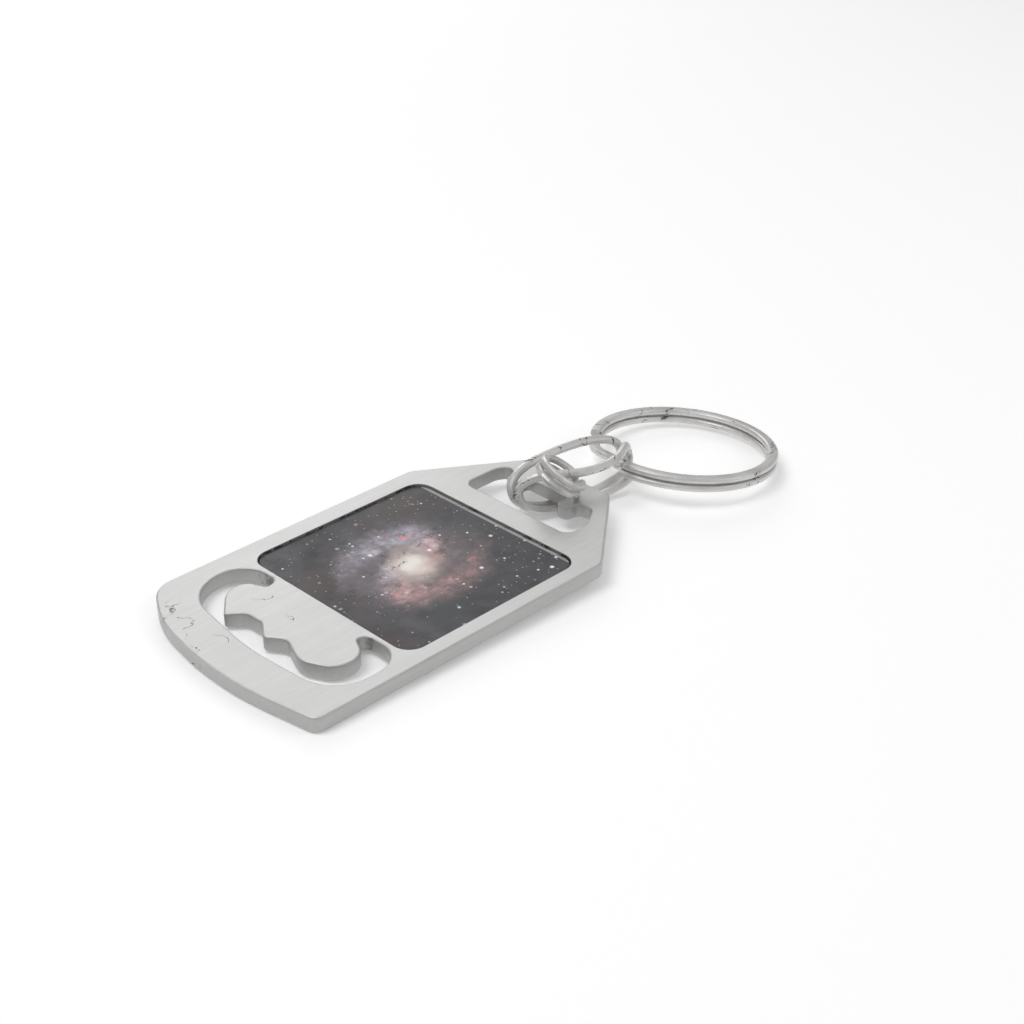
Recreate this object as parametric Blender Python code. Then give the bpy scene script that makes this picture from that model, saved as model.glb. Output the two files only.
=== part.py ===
"""Keychain bottle opener: a flat plate with a cap mouth and a framed picture, on three split rings.

Lengths are written in millimetres and turned into metres by MM. Everything is laid out in the
plate's own frame: origin on the top face, +X towards the key ring, +Y across, +Z out of the top
face. The empty "assembly" then sets the plate on its resting surface, tipped up a little because
the slot ring passes under its key end.
"""
import bpy
import bmesh
import math
from mathutils import Matrix, Vector

MM = 0.001

# driving dimensions of the plate
HALF_WIDTH = 20.0
THICKNESS = 2.3
EDGE_RADIUS = 0.25
END_X = -39.75            # apex of the rounded opener end
TIP_X = 30.6              # edge of the tip that the slot ring hangs on
SLOT_LEFT_X = 17.4
SLOT_RIGHT_X = 25.6       # inner face of the bar at the tip

# picture recess and the two layers in it
RECESS_LOW_X = -20.0
RECESS_HIGH_X = 13.0
RECESS_LOW_Y = -17.5
RECESS_HIGH_Y = 16.7
RECESS_DEPTH = 1.0
RECESS_CORNER = 2.9
PICTURE_GAP = 0.3
PICTURE_TOP = -0.35
PICTURE_THICKNESS = 0.4
ADHESIVE_THICKNESS = 0.15
LAYER_GAP = 0.05
ADHESIVE_INSET = 1.5

# slot ring: an oval split ring of two turns, through the slot and round the key ring
SLOT_RING_WIRE = 1.4
SLOT_RING_CENTRE = (31.3, 0.0)
SLOT_RING_LOW_Z = -3.52   # centre of the wire where it passes under the bar
SLOT_RING_HALF_LENGTH = 11.2
SLOT_RING_HALF_HEIGHT = 3.7
SLOT_RING_SQUARENESS = 2.4     # 2 would be a plain ellipse
SLOT_RING_LEAN = 26.5     # degrees from upright, towards +Y
SLOT_RING_SPREAD = 52.0   # how far the small ring wedges the second turn the other way
SLOT_RING_SPREAD_AT = 446.0
SLOT_RING_SPREAD_REACH = 89.0
SLOT_RING_PITCH = 1.95
SLOT_RING_YAW = -8.8
SLOT_RING_START = -35.0   # the wire ends lie side by side at this angle

# small ring: two turns of thin wire round the slot ring's upper strand
SMALL_RING_WIRE = 1.2
SMALL_RING_RADIUS = 3.5
SMALL_RING_PITCH = 1.5
SMALL_RING_CENTRE = (24.9, -2.35, 3.5)
SMALL_RING_NORMAL = (0.481, -0.328, 0.813)
SMALL_RING_JOG_AT = -5.0
SMALL_RING_HINGE_ANGLE = 475.0

# key ring: two turns of flat wire
KEY_RING_RADIUS = 14.5
KEY_RING_WIDTH = 1.8
KEY_RING_HEIGHT = 1.1
KEY_RING_PITCH = 1.35
KEY_RING_CENTRE = (53.3, -3.1, -1.9)
KEY_RING_NORMAL = (0.112, 0.015, 0.994)
KEY_RING_JOG_AT = 152.0

# how the whole thing lies
SLOT_RING_SAG = 0.045        # drop of the leaning wire below its own centre line's low point
REST_DROP = -SLOT_RING_LOW_Z + SLOT_RING_WIRE / 2 - THICKNESS + SLOT_RING_SAG
REST_TILT = math.atan2(REST_DROP, SLOT_RING_CENTRE[0] - END_X)
MIDDLE_X = 14.405         # middle of the overall length, from the opener end to the key ring

PLATE_CORNERS = [         # (x, y, corner radius), counter-clockwise
    (-37.6, -HALF_WIDTH, 1.8), (15.0, -HALF_WIDTH, 2.5), (TIP_X, -7.4, 1.2), (TIP_X, 9.2, 1.2),
    (14.1, HALF_WIDTH, 3.0), (-34.0, HALF_WIDTH, 5.0), (-38.4, 12.4, 22.0), (-40.7, -3.0, 55.0),
]
MOUTH_CORNERS = [         # the C-shaped cap opening round the gripping tongue
    (-22.6, 9.0, 0.6), (-20.6, 9.4, 1.6), (-21.0, 16.2, 4.4), (-31.4, 16.4, 7.0), (-33.8, -1.0, 40.0),
    (-32.6, -17.6, 6.5), (-20.6, -17.4, 4.4), (-20.8, -9.8, 1.2), (-22.4, -9.9, 0.6),
    (-24.2, -13.4, 3.2), (-28.6, -13.2, 3.6), (-31.0, -8.2, 3.6), (-28.9, -3.2, 1.9),
    (-30.9, -0.6, 0.8), (-28.8, 2.4, 1.5), (-28.9, 5.6, 1.2), (-31.3, 7.6, 0.5),
    (-27.6, 12.2, 4.0), (-24.2, 12.2, 2.0), (-22.9, 9.3, 0.4),
]
SLOT_CORNERS = [          # the key slot, with a rounded hook on each side of its middle bay
    (SLOT_LEFT_X, -10.9, 1.8), (21.4, -11.0, 4.0), (25.6, -8.4, 1.4), (25.2, -5.8, 0.9),
    (22.7, -5.7, 1.2), (22.8, -3.1, 1.1), (SLOT_RIGHT_X, -3.3, 0.6), (SLOT_RIGHT_X, 5.3, 0.6),
    (22.8, 5.1, 1.1), (22.7, 7.7, 1.2), (25.2, 7.8, 0.9), (26.3, 9.8, 1.2), (24.2, 11.0, 3.0),
    (SLOT_LEFT_X, 11.0, 1.8),
]


def remove_everything():
    for obj in list(bpy.data.objects):
        bpy.data.objects.remove(obj, do_unlink=True)


def new_collection(name):
    collection = bpy.data.collections.new(name)
    bpy.context.scene.collection.children.link(collection)
    return collection


def material(name, colour, roughness, metallic):
    mat = bpy.data.materials.new(name)
    mat.use_nodes = True
    shader = mat.node_tree.nodes["Principled BSDF"]
    shader.inputs["Base Color"].default_value = (*colour, 1.0)
    shader.inputs["Roughness"].default_value = roughness
    shader.inputs["Metallic"].default_value = metallic
    return mat


def rounded(corners, step=9.0, chord=1.5):
    """The outline of a polygon whose corners are rounded, each by its own radius."""
    outline = []
    count = len(corners)
    for i, (x, y, radius) in enumerate(corners):
        corner = Vector((x, y))
        back = (Vector(corners[i - 1][:2]) - corner).normalized()
        ahead = (Vector(corners[(i + 1) % count][:2]) - corner).normalized()
        half = back.angle(ahead) / 2
        centre = corner + (back + ahead).normalized() * (radius / math.sin(half))
        start = corner + back * (radius / math.tan(half)) - centre
        turn = start.angle_signed(corner + ahead * (radius / math.tan(half)) - centre)
        pieces = max(2, math.ceil(abs(math.degrees(turn)) / step), math.ceil(abs(turn) * radius / chord))
        for k in range(pieces + 1):
            spot = centre + Matrix.Rotation(-turn * k / pieces, 2) @ start
            outline.append((spot.x, spot.y))
    return outline


def add_spline(curve, points, closed):
    spline = curve.splines.new("POLY")
    spline.points.add(len(points) - 1)
    for target, point in zip(spline.points, points):
        target.co = (point[0] * MM, point[1] * MM, (point[2] if len(point) > 2 else 0.0) * MM, 1.0)
    spline.use_cyclic_u = closed


def flat_solid(name, outlines, top, thickness, edge, mat, collection):
    """A sheet cut to the first outline, with the others as holes, as a mesh object."""
    curve = bpy.data.curves.new(name, "CURVE")
    curve.dimensions = "2D"
    curve.fill_mode = "BOTH"
    curve.extrude = (thickness / 2 - edge) * MM
    curve.bevel_depth = edge * MM
    curve.bevel_resolution = 1
    curve.offset = -edge * MM
    for outline in outlines:
        add_spline(curve, outline, True)
    guide = bpy.data.objects.new(name + "_outline", curve)
    collection.objects.link(guide)
    guide.location.z = (top - thickness / 2) * MM
    bpy.context.view_layer.update()
    evaluated = guide.evaluated_get(bpy.context.evaluated_depsgraph_get())
    mesh = bpy.data.meshes.new_from_object(evaluated)
    mesh.name = name
    welded = bmesh.new()
    welded.from_mesh(mesh)
    bmesh.ops.remove_doubles(welded, verts=welded.verts, dist=0.000001)
    welded.to_mesh(mesh)
    welded.free()
    mesh.materials.clear()
    mesh.materials.append(mat)
    obj = bpy.data.objects.new(name, mesh)
    obj.matrix_world = guide.matrix_world.copy()
    collection.objects.link(obj)
    bpy.data.objects.remove(guide, do_unlink=True)
    return obj


def wire(name, points, mat, collection):
    """A 3-D wire curve along the points, with closed ends; its section is set by the caller."""
    curve = bpy.data.curves.new(name, "CURVE")
    curve.dimensions = "3D"
    curve.use_fill_caps = True
    curve.bevel_resolution = 3
    add_spline(curve, points, False)
    curve.materials.append(mat)
    obj = bpy.data.objects.new(name, curve)
    collection.objects.link(obj)
    return obj


def box_corners(low_x, high_x, low_y, high_y, radius):
    return [(low_x, low_y, radius), (high_x, low_y, radius), (high_x, high_y, radius),
            (low_x, high_y, radius)]


def smooth_step(value):
    value = min(max(value, 0.0), 1.0)
    return value * value * (3 - 2 * value)


def split_ring_points(radius, pitch, jog_at, jog_half=20.0, end_gap=26.0, step=6.0):
    """Two flat turns with one jog between them; the wire's ends lie either side of the jog."""
    points = []
    count = round((720 - 2 * end_gap) / step)
    for k in range(count + 1):
        angle = end_gap + (720 - 2 * end_gap) * k / count
        rise = smooth_step((angle - 360 + jog_half) / (2 * jog_half)) - 0.5
        turn = math.radians(angle + jog_at)
        points.append((radius * math.cos(turn), radius * math.sin(turn), pitch * rise))
    return points


def recess_outline(inset, radius):
    return box_corners(RECESS_LOW_X + inset, RECESS_HIGH_X - inset, RECESS_LOW_Y + inset,
                       RECESS_HIGH_Y - inset, radius)


def squarer(value):
    return math.copysign(abs(value) ** (2 / SLOT_RING_SQUARENESS), value)


def slot_ring_point(angle):
    """A point of the slot ring's wire, in the plate's frame; 90 and 450 degrees are uppermost."""
    apart = min(abs(angle - SLOT_RING_SPREAD_AT) / SLOT_RING_SPREAD_REACH, 1.0)
    lean = math.radians(SLOT_RING_LEAN - SLOT_RING_SPREAD * math.cos(apart * math.pi / 2) ** 2)
    along = SLOT_RING_HALF_LENGTH * squarer(math.cos(math.radians(angle)))
    height = SLOT_RING_HALF_HEIGHT * (1 + squarer(math.sin(math.radians(angle))))
    across = height * math.sin(lean) - SLOT_RING_PITCH * (angle - 270) / 360
    yaw = math.radians(SLOT_RING_YAW)
    x = SLOT_RING_CENTRE[0] + along * math.cos(yaw) - across * math.sin(yaw)
    y = SLOT_RING_CENTRE[1] + along * math.sin(yaw) + across * math.cos(yaw)
    return Vector((x, y, SLOT_RING_LOW_Z + height * math.cos(lean)))


def facing(normal):
    """The rotation that turns +Z to the normal and keeps +Y as level as it can."""
    up = Vector(normal).normalized()
    side = Vector((0, 1, 0)).cross(up).normalized()
    return Matrix((side, up.cross(side), up)).transposed().to_euler()


def make_body(parts, cutters, metal):
    outlines = [rounded(PLATE_CORNERS), rounded(MOUTH_CORNERS), rounded(SLOT_CORNERS)]
    body = flat_solid("opener_body", outlines, 0.0, THICKNESS, EDGE_RADIUS, metal, parts)
    recess = recess_outline(0.0, RECESS_CORNER)
    cutter = flat_solid("recess_cutter", [rounded(recess)], 2.0, RECESS_DEPTH + 2.0, 0.0, metal, cutters)
    cutter.display_type = "WIRE"
    cutter.hide_render = True
    cut = body.modifiers.new("recess", "BOOLEAN")
    cut.operation = "DIFFERENCE"
    cut.object = cutter
    return body, cutter


def make_layers(parts, paper, print_mat):
    sheet = recess_outline(PICTURE_GAP, RECESS_CORNER - PICTURE_GAP)
    picture = flat_solid("picture_plate", [rounded(sheet)], PICTURE_TOP, PICTURE_THICKNESS, 0.0,
                         print_mat, parts)
    pad = recess_outline(PICTURE_GAP + ADHESIVE_INSET, 1.0)
    pad_top = PICTURE_TOP - PICTURE_THICKNESS - LAYER_GAP
    adhesive = flat_solid("adhesive_pad", [rounded(pad)], pad_top, ADHESIVE_THICKNESS, 0.0, paper, parts)
    return picture, adhesive


def make_slot_ring(parts, metal):
    hinge = Vector(((SLOT_RIGHT_X + TIP_X) / 2, 0.4, -THICKNESS / 2))
    points = []
    for k in range(121):
        points.append(slot_ring_point(SLOT_RING_START + 6.0 * k) - hinge)
    ring = wire("slot_ring", points, metal, parts)
    ring.data.bevel_depth = SLOT_RING_WIRE / 2 * MM
    ring.location = hinge * MM
    return ring


def make_small_ring(parts, metal):
    turn = facing(SMALL_RING_NORMAL)
    hinge = slot_ring_point(SMALL_RING_HINGE_ANGLE)
    to_local = turn.to_matrix().transposed()
    shift = to_local @ (Vector(SMALL_RING_CENTRE) - hinge)
    points = split_ring_points(SMALL_RING_RADIUS, SMALL_RING_PITCH, SMALL_RING_JOG_AT, step=12.0)
    ring = wire("small_ring", [Vector(point) + shift for point in points], metal, parts)
    ring.data.bevel_depth = SMALL_RING_WIRE / 2 * MM
    ring.location = hinge * MM
    ring.rotation_euler = turn
    return ring


def make_key_ring(parts, cutters, metal):
    section = bpy.data.curves.new("key_ring_section", "CURVE")
    section.dimensions = "2D"
    half_x, half_y = KEY_RING_WIDTH / 2, KEY_RING_HEIGHT / 2
    outline = rounded(box_corners(-half_x, half_x, -half_y, half_y, 0.5), 30.0)
    add_spline(section, outline[::-1], True)      # clockwise, so that the wire's faces point out
    guide = bpy.data.objects.new("key_ring_section", section)
    guide.hide_render = True
    guide.display_type = "WIRE"
    cutters.objects.link(guide)
    turn = facing(KEY_RING_NORMAL)
    hinge = Vector(KEY_RING_CENTRE) - turn.to_matrix() @ Vector((KEY_RING_RADIUS, 0, 0))
    points = split_ring_points(KEY_RING_RADIUS, KEY_RING_PITCH, KEY_RING_JOG_AT)
    ring = wire("key_ring", [Vector(p) + Vector((KEY_RING_RADIUS, 0, 0)) for p in points], metal, parts)
    ring.data.bevel_mode = "OBJECT"
    ring.data.bevel_object = guide
    ring.data.twist_mode = "Z_UP"
    ring.location = hinge * MM
    ring.rotation_euler = turn
    return ring


def main():
    remove_everything()
    parts = new_collection("keychain_bottle_opener")
    cutters = new_collection("cutters")
    satin = material("satin_metal", (0.62, 0.63, 0.63), 0.35, 1.0)
    wire_metal = material("ring_metal", (0.6, 0.59, 0.57), 0.3, 1.0)
    paper = material("adhesive", (0.8, 0.79, 0.75), 0.8, 0.0)
    print_mat = material("printed_face", (0.07, 0.065, 0.08), 0.4, 0.0)

    assembly = bpy.data.objects.new("assembly", None)
    parts.objects.link(assembly)
    assembly.rotation_euler.y = -REST_TILT
    lift = -END_X * math.sin(REST_TILT) + THICKNESS * math.cos(REST_TILT)
    assembly.location = (-MIDDLE_X * MM, 0.0, lift * MM)

    pieces = [*make_body(parts, cutters, satin), *make_layers(parts, paper, print_mat)]
    pieces.append(make_slot_ring(parts, wire_metal))
    pieces.append(make_small_ring(parts, wire_metal))
    pieces.append(make_key_ring(parts, cutters, wire_metal))
    for piece in pieces:
        piece.parent = assembly
        if piece.type == "MESH":
            piece.data.shade_smooth()
            piece.data.set_sharp_from_angle(angle=math.radians(30))


main()
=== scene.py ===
"""Looks for the keychain bottle opener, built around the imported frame. Lengths are in metres."""
import math

import bpy
from mathutils import Matrix, Vector


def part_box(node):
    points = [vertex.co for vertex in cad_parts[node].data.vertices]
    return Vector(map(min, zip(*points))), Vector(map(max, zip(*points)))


MM = 0.001

# The CAD as it lies: the plate's own origin is on its top face, and the plate is tipped about Y.
PLATE_ORIGIN = Vector((-14.405, 0.0, 3.3982)) * MM
REST_TILT = math.radians(1.5847)
PICTURE_GAP = 0.3 * MM            # between the insert and the recess's walls

# The camera, in the plate's own frame.
CAMERA_PLACE = Vector((-140.44, -157.20, 127.92)) * MM
CAMERA_TURN = math.radians(45.0)  # from +X towards +Y
CAMERA_FALL = math.radians(30.0)  # below the plate's plane
CAMERA_LENS = 59.74               # mm
SENSOR_WIDTH = 36.0               # mm

# The stage.
FLOOR_HALF = 3.0
FLOOR_DROP = 0.2 * MM             # keeps the floor clear of what rests on it
FLOOR_GLOW = 0.18
DOME_AT_HORIZON = 0.22
DOME_OVERHEAD = 0.52
DOME_FULL_FROM = 0.8              # the height on the dome, 0 to 1, from which it is at its brightest

# The metals.
METALLIC = 0.55
GRAIN_DEPTH = 0.01 * MM

# The printed picture, in mm on the insert where no unit is given.
GALAXY_SHIFT = -0.51 * MM         # from the insert's middle towards the opener end
GALAXY_TURN = math.radians(28.0)
GALAXY_STRETCH = (0.92, 1.12)     # along and across its long axis
GALAXY_STRAY = 5.0                # how far noise shifts its places, from end to end
ARM_COUNT = 2.0
ARM_WINDING = 3.8
MARGIN_FROM = 0.661 * MM          # the light margin starts this far inside the insert's key ring end
MARGIN_FULL = 0.511 * MM
STAR_LAYERS = (                   # cells per metre, size in its cell, share left out, brightest
    (430.0, 0.19, 0.62, 1.0),
    (900.0, 0.25, 0.84, 0.9),
    (1800.0, 0.26, 0.80, 0.5),
)


# ---------------------------------------------------------------- node helpers

class Shader:
    """One material and short names for the nodes it is built from."""

    def __init__(self, name):
        self.material = bpy.data.materials.new(name)
        self.material.use_nodes = True
        self.tree = self.material.node_tree
        coords = self.tree.nodes.new("ShaderNodeTexCoord")
        self.place = coords.outputs["Object"]

    def put(self, socket, value):
        """Link a node's output to a socket, or set the socket to a constant."""
        if isinstance(value, bpy.types.NodeSocket):
            self.tree.links.new(value, socket)
        else:
            socket.default_value = value

    def surface(self, name, value):
        self.put(self.tree.nodes["Principled BSDF"].inputs[name], value)

    def math(self, operation, a, b=0.0, clamp=False):
        node = self.tree.nodes.new("ShaderNodeMath")
        node.operation = operation
        node.use_clamp = clamp
        self.put(node.inputs[0], a)
        self.put(node.inputs[1], b)
        return node.outputs[0]

    def times(self, a, b, clamp=False):
        return self.math("MULTIPLY", a, b, clamp)

    def plus(self, a, b):
        return self.math("ADD", a, b)

    def minus(self, a, b):
        return self.math("SUBTRACT", a, b)

    def spread(self, value, low, high, to_low=0.0, to_high=1.0):
        """A smooth step from to_low at low to to_high at high."""
        node = self.tree.nodes.new("ShaderNodeMapRange")
        node.interpolation_type = "SMOOTHSTEP"
        self.put(node.inputs["Value"], value)
        self.put(node.inputs["From Min"], low)
        self.put(node.inputs["From Max"], high)
        self.put(node.inputs["To Min"], to_low)
        self.put(node.inputs["To Max"], to_high)
        return node.outputs["Result"]

    def mapped(self, location=(0, 0, 0), scale=(1, 1, 1)):
        node = self.tree.nodes.new("ShaderNodeMapping")
        self.put(node.inputs["Vector"], self.place)
        node.inputs["Location"].default_value = location
        node.inputs["Scale"].default_value = scale
        return node.outputs["Vector"]

    def noise(self, where, scale, detail=3.0, roughness=0.5, distortion=0.0):
        node = self.tree.nodes.new("ShaderNodeTexNoise")
        self.put(node.inputs["Vector"], where)
        node.inputs["Scale"].default_value = scale
        node.inputs["Detail"].default_value = detail
        node.inputs["Roughness"].default_value = roughness
        node.inputs["Distortion"].default_value = distortion
        return node.outputs["Fac"]

    def cells(self, where, scale):
        """Distance from the nearest cell's middle, and that cell's own three random values."""
        node = self.tree.nodes.new("ShaderNodeTexVoronoi")
        node.feature = "F1"
        self.put(node.inputs["Vector"], where)
        node.inputs["Scale"].default_value = scale
        return node.outputs["Distance"], self.apart(node.outputs["Color"])

    def mix(self, amount, a, b):
        node = self.tree.nodes.new("ShaderNodeMix")
        node.data_type = "RGBA"
        self.put(node.inputs["Factor"], amount)
        self.put(node.inputs["A"], a)
        self.put(node.inputs["B"], b)
        return node.outputs["Result"]

    def apart(self, vector):
        node = self.tree.nodes.new("ShaderNodeSeparateXYZ")
        self.put(node.inputs[0], vector)
        return node.outputs[0], node.outputs[1], node.outputs[2]

    def bump(self, height, distance, strength, after=None):
        node = self.tree.nodes.new("ShaderNodeBump")
        node.inputs["Strength"].default_value = strength
        node.inputs["Distance"].default_value = distance
        self.put(node.inputs["Height"], height)
        if after is not None:
            self.put(node.inputs["Normal"], after)
        return node.outputs["Normal"]

    def hairlines(self, scale, width, chance, seed):
        """Thin broken scratches, 1 on a scratch and 0 off it. A higher chance value leaves fewer."""
        wander = self.noise(self.mapped(seed), scale, detail=5.0, roughness=0.62, distortion=0.9)
        away = self.math("ABSOLUTE", self.minus(wander, 0.5))
        line = self.spread(away, width * 0.35, width, 1.0, 0.0)
        patches = self.noise(self.mapped((seed[1], seed[0], 0.3)), scale * 0.42, detail=2.0)
        patch = self.spread(patches, chance, chance + 0.03)
        gaps = self.noise(self.mapped((seed[1], 0.2, seed[0])), scale * 5.0, detail=2.0)
        patch = self.times(patch, self.spread(gaps, 0.47, 0.53))
        return self.times(line, patch)


# ---------------------------------------------------------------- where things are on the plate

def recess_outline():
    """Middle and half size of the recess, seen from above: the insert's box and the gap round it."""
    low, high = (Vector(corner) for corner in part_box("picture_plate"))
    return (low + high) / 2, (high - low) / 2 + Vector((PICTURE_GAP, PICTURE_GAP, 0.0))


def below_top(s):
    """1 on the recess's walls and floor and below, 0 on the plate's tipped top face; the plate's painted
    shade is laid with it.
    """
    x, _, z = s.apart(s.place)
    slope = math.tan(REST_TILT)
    top = s.plus(s.times(x, slope), PLATE_ORIGIN.z - PLATE_ORIGIN.x * slope)
    return s.spread(s.minus(z, top), -0.25 * MM, -0.08 * MM, 1.0, 0.0)


def recess_crease_shade(s, reach):
    """Painted shade: broken patches of 1 close to the recess's outline, 0 from reach on."""
    middle, half = recess_outline()
    x, y, _ = s.apart(s.mapped((-middle.x, -middle.y, 0.0)))
    past_x = s.minus(s.math("ABSOLUTE", x), half.x)
    past_y = s.minus(s.math("ABSOLUTE", y), half.y)
    off = s.math("ABSOLUTE", s.math("MAXIMUM", past_x, past_y))
    near = s.spread(off, 0.0, reach, 1.0, 0.0)
    broken = s.noise(s.mapped((0.4, 0.2, 0.0)), 260.0, detail=6.0, roughness=0.75)
    return s.times(near, s.spread(broken, 0.50, 0.56))


# ---------------------------------------------------------------- metals

def worn_metal(s, tone, rough, fine, grain, scratches_and_shade, scratch_and_shade_ink, cover, dent, dent_strength, roughening):
    """Finish a metal: a fine grain, and dark marks that are sunk and a little rougher: hairline scratches,
    and on the plate also painted shade along the recess's walls.
    """
    s.surface("Base Color", s.mix(s.times(scratches_and_shade, cover), tone, scratch_and_shade_ink))
    s.surface("Metallic", METALLIC)
    s.surface("Roughness", s.plus(rough, s.times(scratches_and_shade, roughening)))
    grained = s.bump(fine, GRAIN_DEPTH, grain)
    s.surface("Normal", s.bump(s.minus(1.0, scratches_and_shade), dent, dent_strength, grained))
    return s.material


def plate_metal():
    """Brushed along the plate, with painted shade darkening every face below its top, the recess among
    them, and broken patches of painted shade along the recess's walls.
    """
    s = Shader("plate_brushed_metal")
    fine = s.noise(s.mapped(scale=(0.055, 1.0, 1.0)), 5200.0, roughness=0.7)
    coarse = s.noise(s.mapped(scale=(0.045, 1.0, 1.0)), 1500.0)
    cloud = s.noise(s.place, 75.0)
    tone = s.mix(s.spread(coarse, 0.3, 0.7), (0.525, 0.525, 0.52, 1), (0.565, 0.565, 0.56, 1))
    tone = s.mix(s.spread(fine, 0.25, 0.75, 0.0, 0.6), tone, (0.645, 0.645, 0.64, 1))
    tone = s.mix(s.spread(cloud, 0.45, 0.8, 0.0, 0.2), tone, (0.44, 0.435, 0.425, 1))
    # Painted shade: every face below the tipped top face, the recess's walls and floor among them, is
    # darkened towards a dark grey.
    lower = below_top(s)
    tone = s.mix(s.times(lower, 0.42), tone, (0.36, 0.36, 0.355, 1))
    hairlines = s.hairlines(72.0, 0.0040, 0.615, (0.021, 0.043, 0.0))
    # The hairlines are real scratches; the patches along the recess's walls added to them are painted
    # shade, darkened with the same near-black colour.
    scratches_and_shade = s.math("MAXIMUM", hairlines, s.times(recess_crease_shade(s, 1.6 * MM), lower))
    return worn_metal(
        s, tone, s.spread(fine, 0.2, 0.8, 0.36, 0.50), fine, grain=0.35, scratches_and_shade=scratches_and_shade,
        scratch_and_shade_ink=(0.06, 0.058, 0.055, 1), cover=0.85, dent=0.05 * MM, dent_strength=0.7, roughening=0.25)


def ring_metal(name, seed):
    """Plated wire with faint warm patches. The seed moves its pattern from ring to ring."""
    s = Shader(name)
    fine = s.noise(s.place, 2600.0, roughness=0.65)
    cloud = s.noise(s.mapped(seed), 210.0, detail=4.0, roughness=0.6)
    tone = s.mix(s.spread(cloud, 0.3, 0.7), (0.60, 0.59, 0.58, 1), (0.71, 0.705, 0.695, 1))
    tone = s.mix(s.spread(fine, 0.35, 0.8, 0.0, 0.25), tone, (0.78, 0.775, 0.77, 1))
    warm = s.noise(s.mapped((seed[2], seed[1], seed[0])), 330.0, detail=2.0)
    tone = s.mix(s.spread(warm, 0.58, 0.72, 0.0, 0.22), tone, (0.62, 0.52, 0.46, 1))
    return worn_metal(
        s, tone, s.spread(cloud, 0.3, 0.7, 0.30, 0.46), fine, grain=0.3,
        scratches_and_shade=s.hairlines(105.0, 0.0085, 0.45, seed), scratch_and_shade_ink=(0.05, 0.047, 0.045, 1), cover=0.9,
        dent=0.06 * MM, dent_strength=0.8, roughening=0.3)


# ---------------------------------------------------------------- the printed picture

def strayed(s, place, drift_at):
    """A place on the insert in mm, shifted by noise so that nothing drawn with it is regular."""
    drift = s.noise(drift_at, 190.0, detail=4.0, roughness=0.6)
    return s.plus(s.times(place, 1 / MM), s.times(s.minus(drift, 0.5), GALAXY_STRAY))


def spiral(s, x, y):
    """Distance from the galaxy's core in mm, and its winding arms, 1 where they are densest."""
    cos, sin = math.cos(GALAXY_TURN), math.sin(GALAXY_TURN)
    along = s.times(s.plus(s.times(x, cos), s.times(y, sin)), GALAXY_STRETCH[0])
    across = s.times(s.minus(s.times(y, cos), s.times(x, sin)), GALAXY_STRETCH[1])
    squared = s.plus(s.times(along, along), s.times(across, across))
    radius = s.math("SQRT", s.plus(squared, 0.05))
    winding = s.times(s.math("LOGARITHM", radius, math.e), ARM_WINDING)
    around = s.times(s.math("ARCTAN2", across, along), ARM_COUNT)
    wave = s.math("COSINE", s.minus(around, winding))
    clumps = s.noise(s.place, 620.0, detail=5.0, roughness=0.7)
    arms = s.times(s.spread(wave, -0.95, 0.75, 0.12, 1.0), s.spread(clumps, 0.30, 0.68, 0.30, 1.15))
    return radius, arms


def dusty_sky(s):
    dust = s.noise(s.place, 130.0, detail=5.0, roughness=0.62)
    sky = s.mix(s.spread(dust, 0.36, 0.66), (0.018, 0.020, 0.026, 1), (0.060, 0.058, 0.068, 1))
    warm = s.noise(s.mapped((0.7, 0.2, 0.1)), 62.0, detail=2.0)
    return s.mix(s.spread(warm, 0.42, 0.66, 0.0, 0.6), sky, (0.070, 0.046, 0.042, 1))


def with_galaxy(s, picture, x, y):
    """Lay a halo, two-tone arms, pink knots, dust lanes and a bright core over the picture."""
    radius, arms = spiral(s, x, y)
    halo = s.spread(radius, 2.0, 14.0, 1.0, 0.0)
    picture = s.mix(s.times(halo, 0.55, True), picture, (0.19, 0.165, 0.185, 1))

    glow = s.times(arms, s.spread(radius, 5.5, 14.0, 1.0, 0.0))
    cool_side = s.spread(s.plus(y, s.times(x, -0.45)), -3.0, 4.5)
    arm_tone = s.mix(cool_side, (0.50, 0.29, 0.28, 1), (0.46, 0.45, 0.54, 1))
    picture = s.mix(s.times(glow, 0.85, True), picture, arm_tone)
    lilac = s.noise(s.mapped((0.15, 0.45, 0.0)), 300.0, detail=4.0, roughness=0.7)
    lilac = s.times(s.spread(lilac, 0.48, 0.72), s.times(glow, 0.7))
    picture = s.mix(lilac, picture, (0.74, 0.66, 0.70, 1))

    knots = s.noise(s.mapped((0.52, 0.13, 0.0)), 830.0, detail=3.0, roughness=0.6)
    pink = s.times(s.times(s.spread(knots, 0.60, 0.69), glow), s.spread(radius, 3.0, 5.5))
    picture = s.mix(s.times(pink, 0.95, True), picture, (0.78, 0.24, 0.22, 1))
    lanes = s.noise(s.mapped((0.9, 0.6, 0.0)), 460.0, detail=5.0, roughness=0.65)
    lane = s.times(s.spread(lanes, 0.56, 0.66, 0.0, 0.6), s.spread(radius, 1.8, 4.0))
    picture = s.mix(lane, picture, (0.035, 0.028, 0.030, 1))

    heart = s.math("POWER", s.spread(radius, 0.8, 7.2, 1.0, 0.0), 1.5)
    picture = s.mix(s.times(heart, 0.85, True), picture, (0.76, 0.64, 0.58, 1))
    return s.mix(s.spread(radius, 0.5, 3.0, 0.8, 0.0), picture, (0.92, 0.88, 0.84, 1))


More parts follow.
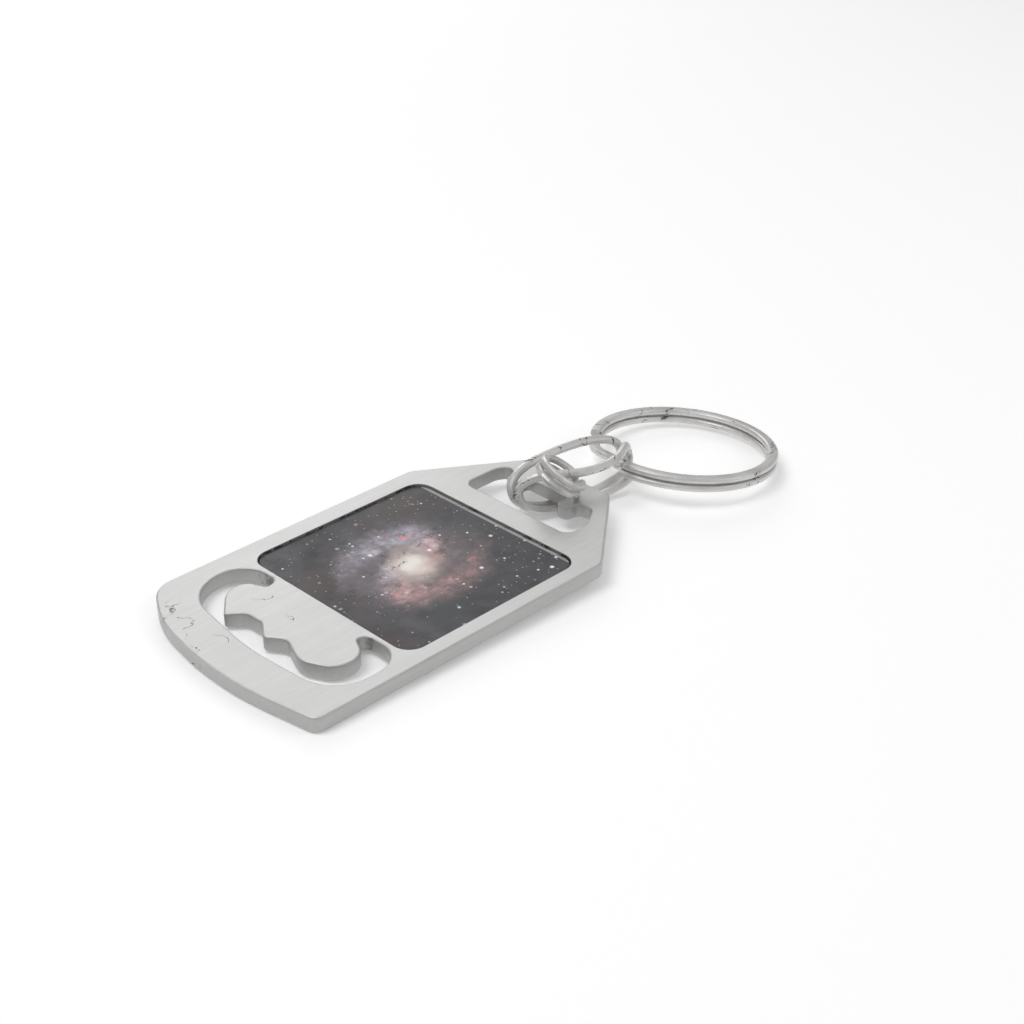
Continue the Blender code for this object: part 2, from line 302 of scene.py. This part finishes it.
def with_stars(s, picture):
    """Lay three layers of round stars over the picture, each a cell's middle, white or reddish."""
    in_plane = s.mapped(scale=(1.0, 1.0, 0.0))
    for per_metre, size, left_out, brightest in STAR_LAYERS:
        distance, (pick, tint, level) = s.cells(in_plane, per_metre)
        disc = s.times(s.spread(distance, size * 0.35, size, 1.0, 0.0),
                       s.spread(pick, left_out, left_out + 0.02))
        amount = s.times(disc, s.spread(level, 0.0, 1.0, 0.35, brightest))
        star = s.mix(s.spread(tint, 0.55, 0.75), (0.86, 0.90, 0.98, 1), (0.95, 0.66, 0.62, 1))
        picture = s.mix(amount, picture, star)
    return picture


def printed_galaxy():
    """A made-up spiral galaxy on a star field, with a light margin, hairline scratches and broken patches
    of painted shade along the recess's outline.
    """
    s = Shader("printed_galaxy")
    middle, half = recess_outline()
    x, y, _ = s.apart(s.mapped((-middle.x - GALAXY_SHIFT, -middle.y, 0.0)))
    x = strayed(s, x, s.place)
    y = strayed(s, y, s.mapped((0.3, 0.1, 0.0)))
    picture = with_stars(s, with_galaxy(s, dusty_sky(s), x, y))

    along_plate, _, _ = s.apart(s.place)
    insert_end = middle.x + half.x - PICTURE_GAP
    margin = s.spread(along_plate, insert_end - MARGIN_FROM, insert_end - MARGIN_FULL)
    picture = s.mix(s.times(margin, 0.75), picture, (0.42, 0.41, 0.41, 1))
    # The hairlines are real scratches; the patches along the recess's outline added to them are painted
    # shade; both are painted near black.
    scuffs_and_shade = s.hairlines(88.0, 0.0050, 0.60, (0.047, 0.012, 0.0))
    scuffs_and_shade = s.math("MAXIMUM", scuffs_and_shade, recess_crease_shade(s, 0.9 * MM))
    s.surface("Base Color", s.mix(s.times(scuffs_and_shade, 0.8), picture, (0.008, 0.008, 0.009, 1)))

    smudges = s.noise(s.place, 120.0, detail=4.0)
    s.surface("Roughness", s.spread(smudges, 0.3, 0.7, 0.38, 0.52))
    s.surface("Specular IOR Level", 0.42)
    s.surface("Normal", s.bump(s.noise(s.place, 2400.0, detail=2.0), GRAIN_DEPTH, 0.25))
    return s.material


# ---------------------------------------------------------------- glue and floor

def glue():
    s = Shader("glue_layer")
    mottled = s.noise(s.place, 500.0, detail=4.0)
    s.surface("Base Color", s.mix(mottled, (0.55, 0.53, 0.46, 1), (0.72, 0.70, 0.62, 1)))
    s.surface("Roughness", s.spread(mottled, 0.3, 0.7, 0.55, 0.8))
    return s.material


def paper_floor():
    s = Shader("white_table")
    grain = s.noise(s.place, 900.0, detail=2.0)
    s.surface("Base Color", s.mix(grain, (0.93, 0.93, 0.93, 1), (0.96, 0.96, 0.96, 1)))
    s.surface("Roughness", 0.9)
    s.surface("Specular IOR Level", 0.1)
    s.surface("Emission Color", (1.0, 1.0, 1.0, 1))
    s.surface("Emission Strength", FLOOR_GLOW)
    return s.material


def dress(node, material):
    """Give a CAD node one material on every slot."""
    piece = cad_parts[node]
    if not piece.material_slots:
        piece.data.materials.append(material)
    for slot in piece.material_slots:
        slot.material = material


# ---------------------------------------------------------------- stage, light and camera

def add_to_scene(name, data):
    item = bpy.data.objects.new(name, data)
    bpy.context.scene.collection.objects.link(item)
    return item


def make_floor():
    mesh = bpy.data.meshes.new("floor")
    corners = [(-1, -1, 0), (1, -1, 0), (1, 1, 0), (-1, 1, 0)]
    mesh.from_pydata([Vector(corner) * FLOOR_HALF for corner in corners], [], [(0, 1, 2, 3)])
    mesh.materials.append(paper_floor())
    floor = add_to_scene("floor", mesh)
    floor.location.z = -FLOOR_DROP


def make_light(name, place, aim, width, power):
    """A round area lamp, width across, with its power in watts."""
    data = bpy.data.lights.new(name, "AREA")
    data.shape = "DISK"
    data.size = width
    data.energy = power
    lamp = add_to_scene(name, data)
    lamp.location = place
    lamp.rotation_euler = (Vector(aim) - Vector(place)).to_track_quat("-Z", "Y").to_euler()


def make_world():
    """A studio dome, brighter overhead than at the sides."""
    world = bpy.data.worlds.new("studio")
    world.use_nodes = True
    tree = world.node_tree
    coords = tree.nodes.new("ShaderNodeTexCoord")
    apart = tree.nodes.new("ShaderNodeSeparateXYZ")
    ramp = tree.nodes.new("ShaderNodeMapRange")
    ramp.inputs["From Min"].default_value = 0.0
    ramp.inputs["From Max"].default_value = DOME_FULL_FROM
    ramp.inputs["To Min"].default_value = DOME_AT_HORIZON
    ramp.inputs["To Max"].default_value = DOME_OVERHEAD
    tree.links.new(coords.outputs["Generated"], apart.inputs[0])
    tree.links.new(apart.outputs["Z"], ramp.inputs["Value"])
    tree.links.new(ramp.outputs["Result"], tree.nodes["Background"].inputs["Strength"])
    tree.nodes["Background"].inputs["Color"].default_value = (1.0, 1.0, 1.0, 1)
    bpy.context.scene.world = world
    bpy.context.scene.view_settings.view_transform = "Standard"


def make_camera():
    """Above the opener end's near side, looking down across the plate as it lies."""
    tip = Matrix.Rotation(-REST_TILT, 3, "Y")
    across = math.cos(CAMERA_FALL)
    look = Vector((across * math.cos(CAMERA_TURN), across * math.sin(CAMERA_TURN), -math.sin(CAMERA_FALL)))
    facing = tip @ look.to_track_quat("-Z", "Y").to_matrix()
    data = bpy.data.cameras.new("camera")
    data.lens = CAMERA_LENS
    data.sensor_width = SENSOR_WIDTH
    data.clip_start = 0.01
    camera = add_to_scene("camera", data)
    camera.matrix_world = Matrix.Translation(tip @ CAMERA_PLACE + PLATE_ORIGIN) @ facing.to_4x4()
    bpy.context.scene.camera = camera


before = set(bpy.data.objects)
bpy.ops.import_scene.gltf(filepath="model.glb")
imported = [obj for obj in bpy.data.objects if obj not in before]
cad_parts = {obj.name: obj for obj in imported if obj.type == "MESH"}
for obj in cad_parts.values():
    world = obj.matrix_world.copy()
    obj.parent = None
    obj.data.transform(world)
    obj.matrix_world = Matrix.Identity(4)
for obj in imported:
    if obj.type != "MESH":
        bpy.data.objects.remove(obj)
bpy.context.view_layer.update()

dress("opener_body", plate_metal())
dress("picture_plate", printed_galaxy())
dress("adhesive_pad", glue())
dress("slot_ring", ring_metal("slot_ring_metal", (0.11, 0.04, 0.02)))
dress("small_ring", ring_metal("small_ring_metal", (0.31, 0.17, 0.05)))
dress("key_ring", ring_metal("key_ring_metal", (0.53, 0.29, 0.08)))

make_floor()
make_world()
make_light("key_light", place=(-0.25, 0.10, 0.55), aim=(-0.01, 0, 0), width=0.35, power=1.25)
make_light("fill_light", place=(0.30, -0.45, 0.40), aim=(0, 0, 0), width=0.5, power=0.55)
make_light("back_light", place=(0.30, 0.50, 0.35), aim=(0, 0, 0), width=0.4, power=0.7)
make_camera()
